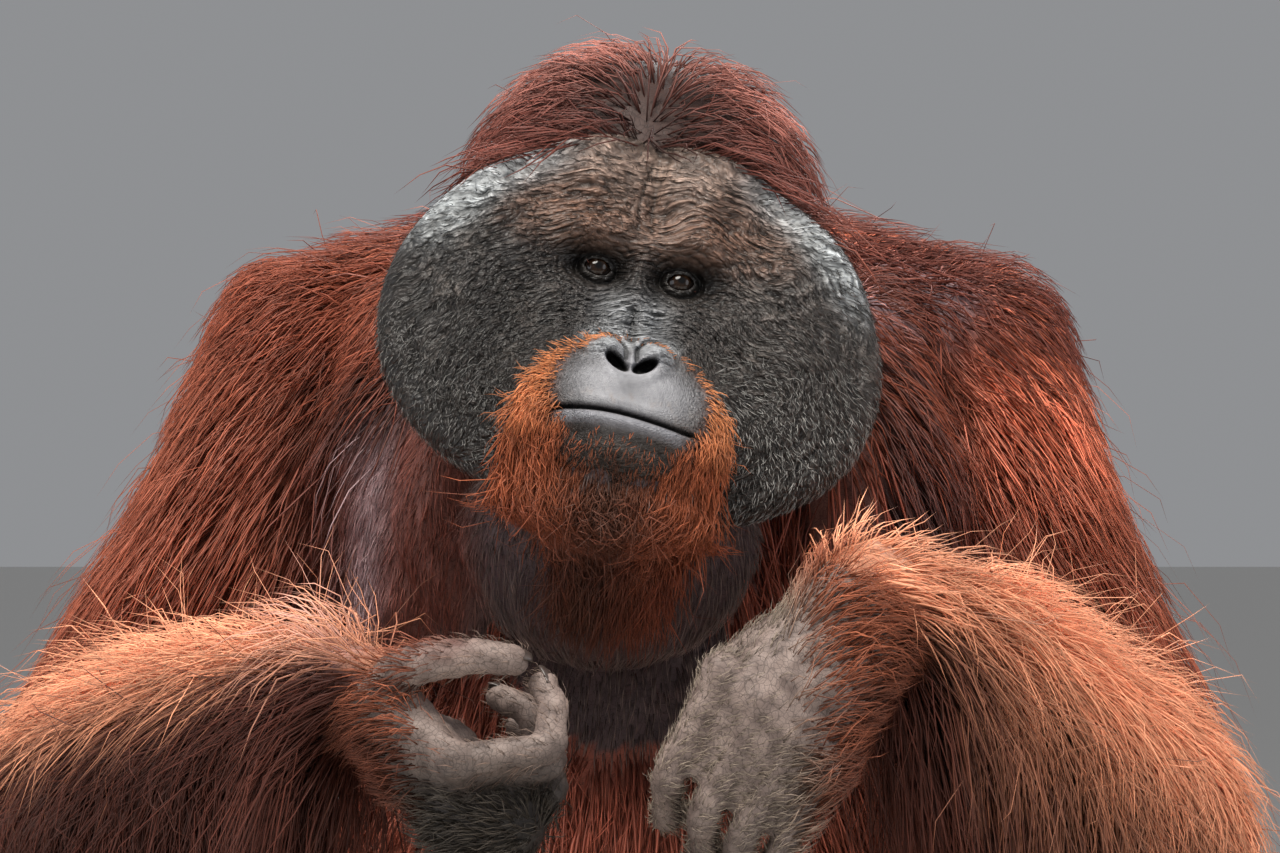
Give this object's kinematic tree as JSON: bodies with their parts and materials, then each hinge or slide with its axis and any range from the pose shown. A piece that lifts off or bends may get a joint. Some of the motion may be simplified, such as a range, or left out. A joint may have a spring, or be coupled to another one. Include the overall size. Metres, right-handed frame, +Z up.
{
  "type": "orangutan",
  "caption": "Grown male orangutan with broad cheek pads, sitting upright with its forearms raised before the chest; long coat in flat hanging locks.",
  "frame": {"origin": "middle of the underside of the box around the whole animal, on the floor it sits on", "axes": "+Z up, -Y the way the chest faces, +X to the animal's left"},
  "size_m": [0.8912, 0.7488, 0.91],
  "materials": {
    "face_skin": "matt, folded and pebbled",
    "eye": "wet and glossy",
    "pouch_skin": "matt, loose, thinly haired",
    "trunk_coat": "long coarse hair",
    "arm_coat": "long coarse hair",
    "leg_coat": "long coarse hair",
    "hand_skin": "matt, wrinkled",
    "foot_skin": "matt, wrinkled"
  },
  "bodies": {
    "root": {"head": "face_skin", "cheek_pad_right": "face_skin", "cheek_pad_left": "face_skin", "ear_right": "face_skin", "ear_left": "face_skin", "eye_right": "eye", "eye_left": "eye", "throat_pouch": "pouch_skin", "neck": "trunk_coat", "chest": "trunk_coat", "belly": "trunk_coat", "upper_arm_right": "arm_coat", "forearm_right": "arm_coat", "thigh_right": "leg_coat", "shank_right": "leg_coat", "hand_right": "hand_skin", "index_right": "hand_skin", "middle_right": "hand_skin", "ring_right": "hand_skin", "little_right": "hand_skin", "thumb_right": "hand_skin", "foot_right": "foot_skin", "toe_1_right": "foot_skin", "toe_2_right": "foot_skin", "toe_3_right": "foot_skin", "toe_4_right": "foot_skin", "toe_5_right": "foot_skin", "upper_arm_left": "arm_coat", "forearm_left": "arm_coat", "thigh_left": "leg_coat", "shank_left": "leg_coat", "hand_left": "hand_skin", "index_left": "hand_skin", "middle_left": "hand_skin", "ring_left": "hand_skin", "little_left": "hand_skin", "thumb_left": "hand_skin", "foot_left": "foot_skin", "toe_1_left": "foot_skin", "toe_2_left": "foot_skin", "toe_3_left": "foot_skin", "toe_4_left": "foot_skin", "toe_5_left": "foot_skin"}
  },
  "joints": []
}
